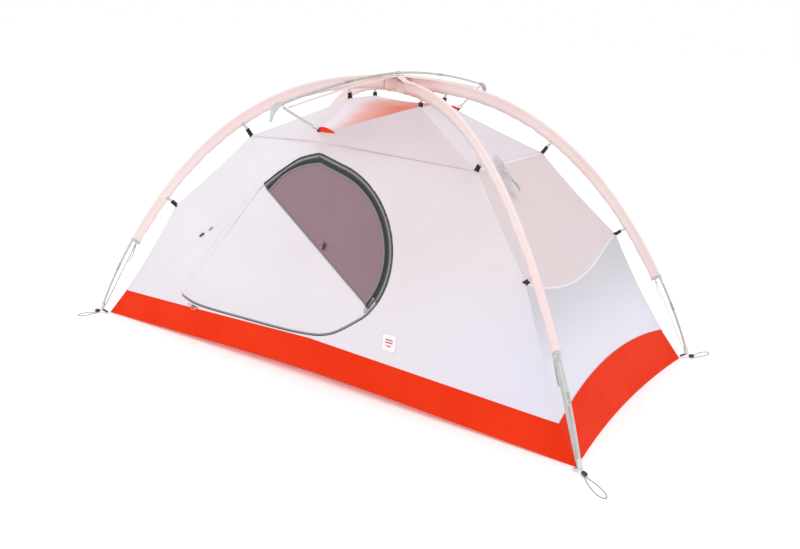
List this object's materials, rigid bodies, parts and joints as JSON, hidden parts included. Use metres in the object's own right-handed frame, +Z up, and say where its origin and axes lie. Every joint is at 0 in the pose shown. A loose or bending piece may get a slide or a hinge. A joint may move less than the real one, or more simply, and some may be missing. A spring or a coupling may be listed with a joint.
{
  "type": "dome tent",
  "caption": "Low dome tent: a fabric cabin with a waterproof tub floor hung by webbing clips under crossing hoop poles in sleeves, with zipped doors that swing out and a roof cross pole.",
  "frame": {"origin": "on the ground under the crossing of the hoop poles, at the centre of the floor", "axes": "+X along the long side of the floor, -Y out of the front door, +Z up"},
  "size_m": [2.4321, 1.4806, 1.0898],
  "materials": {
    "floor_fabric": "coated nylon, orange red, satin",
    "wall_fabric": "thin ripstop nylon, lavender white, slightly see-through",
    "roof_fabric": "thin ripstop nylon, orange fading to white",
    "mesh_fabric": "fine mauve grey insect mesh",
    "sleeve_fabric": "pale peach nylon, slightly see-through",
    "pole_metal": "satin anodised, pale grey",
    "black_webbing": "woven polyester webbing, black",
    "pale_webbing": "woven polyester webbing, pale grey",
    "buckle_plastic": "moulded acetal, pale grey",
    "zip_metal": "dark coated zip slider",
    "cord_braid": "braided cord, grey"
  },
  "bodies": {
    "tent_frame": {"floor_tub": "floor_fabric", "roof_panel": "roof_fabric", "upper_hoop_pole": "pole_metal", "lower_hoop_pole": "pole_metal", "sleeve_hub": "sleeve_fabric", "brow_pole": "pole_metal", "brow_hub_clip": "black_webbing", "end_guyline": "cord_braid", "guyline_hank": "cord_braid", "front_wall": "wall_fabric", "front_upper_panel": "wall_fabric", "front_brow_end": "buckle_plastic", "front_brow_strap": "pale_webbing", "back_wall": "wall_fabric", "back_upper_panel": "wall_fabric", "back_brow_end": "buckle_plastic", "back_brow_strap": "pale_webbing", "left_end_wall": "wall_fabric", "left_hood": "wall_fabric", "right_end_wall": "wall_fabric", "right_hood": "wall_fabric", "front_left_sleeve": "sleeve_fabric", "front_left_corner_anchor": "pale_webbing", "front_left_stake_loop": "cord_braid", "front_left_low_clip": "black_webbing", "front_left_mid_clip": "black_webbing", "front_left_top_clip": "black_webbing", "front_right_sleeve": "sleeve_fabric", "front_right_corner_anchor": "pale_webbing", "front_right_stake_loop": "cord_braid", "front_right_low_clip": "black_webbing", "front_right_mid_clip": "black_webbing", "front_right_top_clip": "black_webbing", "back_right_sleeve": "sleeve_fabric", "back_right_corner_anchor": "pale_webbing", "back_right_stake_loop": "cord_braid", "back_right_low_clip": "black_webbing", "back_right_mid_clip": "black_webbing", "back_right_top_clip": "black_webbing", "back_left_sleeve": "sleeve_fabric", "back_left_corner_anchor": "pale_webbing", "back_left_stake_loop": "cord_braid", "back_left_low_clip": "black_webbing", "back_left_mid_clip": "black_webbing", "back_left_top_clip": "black_webbing"},
    "front_door": {"front_door_panel": "wall_fabric", "front_door_mesh": "mesh_fabric"},
    "front_flap": {"front_window_flap": "wall_fabric"},
    "front_zip_slider": {"front_door_slider": "zip_metal"},
    "front_window_zip_slider": {"front_window_slider": "zip_metal"},
    "back_door": {"back_door_panel": "wall_fabric", "back_door_mesh": "mesh_fabric"},
    "back_flap": {"back_window_flap": "wall_fabric"},
    "back_zip_slider": {"back_door_slider": "zip_metal"},
    "back_window_zip_slider": {"back_window_slider": "zip_metal"},
    "front_left_buckle": {"front_left_ladder_lock": "buckle_plastic"},
    "front_right_buckle": {"front_right_ladder_lock": "buckle_plastic"},
    "back_right_buckle": {"back_right_ladder_lock": "buckle_plastic"},
    "back_left_buckle": {"back_left_ladder_lock": "buckle_plastic"}
  },
  "joints": [
    {"name": "front_door_swing", "type": "hinge", "parent": "tent_frame", "child": "front_door", "pos_m": [-0.667, -0.52018, 0.16202], "axis": [-0.6093, -0.0867, -0.7882], "range_deg": [0, 110]},
    {"name": "front_flap_fold", "type": "hinge", "parent": "front_door", "child": "front_flap", "pos_m": [-0.003, -0.47326, 0.47879], "axis": [0.8239, -0.062, -0.5633], "range_deg": [0, 172]},
    {"name": "front_zip_slide", "type": "slide", "parent": "tent_frame", "child": "front_zip_slider", "axis": [0.9997, 0.0026, 0.0238], "range_m": [0, 0.5]},
    {"name": "front_window_zip_run", "type": "hinge", "parent": "front_door", "child": "front_window_zip_slider", "pos_m": [0.0186, -0.48372, 0.49342], "axis": [0, -0.994, 0.1093], "range_deg": [0, 104]},
    {"name": "back_door_swing", "type": "hinge", "parent": "tent_frame", "child": "back_door", "pos_m": [0.667, 0.52018, 0.16202], "axis": [0.6093, 0.0867, -0.7882], "range_deg": [0, 110]},
    {"name": "back_flap_fold", "type": "hinge", "parent": "back_door", "child": "back_flap", "pos_m": [0.003, 0.47326, 0.47879], "axis": [-0.8239, 0.062, -0.5633], "range_deg": [0, 172]},
    {"name": "back_zip_slide", "type": "slide", "parent": "tent_frame", "child": "back_zip_slider", "axis": [-0.9997, -0.0026, 0.0238], "range_m": [0, 0.5]},
    {"name": "back_window_zip_run", "type": "hinge", "parent": "back_door", "child": "back_window_zip_slider", "pos_m": [-0.0186, 0.48372, 0.49342], "axis": [0, 0.994, 0.1093], "range_deg": [0, 104]},
    {"name": "front_left_buckle_tilt", "type": "hinge", "parent": "tent_frame", "child": "front_left_buckle", "pos_m": [-0.95131, -0.50157, 0.32743], "axis": [0.4664, -0.8846, 0], "range_deg": [0, 40]},
    {"name": "front_right_buckle_tilt", "type": "hinge", "parent": "tent_frame", "child": "front_right_buckle", "pos_m": [0.95138, -0.5016, 0.3235], "axis": [0.4664, 0.8846, 0], "range_deg": [0, 40]},
    {"name": "back_right_buckle_tilt", "type": "hinge", "parent": "tent_frame", "child": "back_right_buckle", "pos_m": [0.95131, 0.50157, 0.32743], "axis": [-0.4664, 0.8846, 0], "range_deg": [0, 40]},
    {"name": "back_left_buckle_tilt", "type": "hinge", "parent": "tent_frame", "child": "back_left_buckle", "pos_m": [-0.95138, 0.5016, 0.3235], "axis": [-0.4664, -0.8846, 0], "range_deg": [0, 40]}
  ]
}
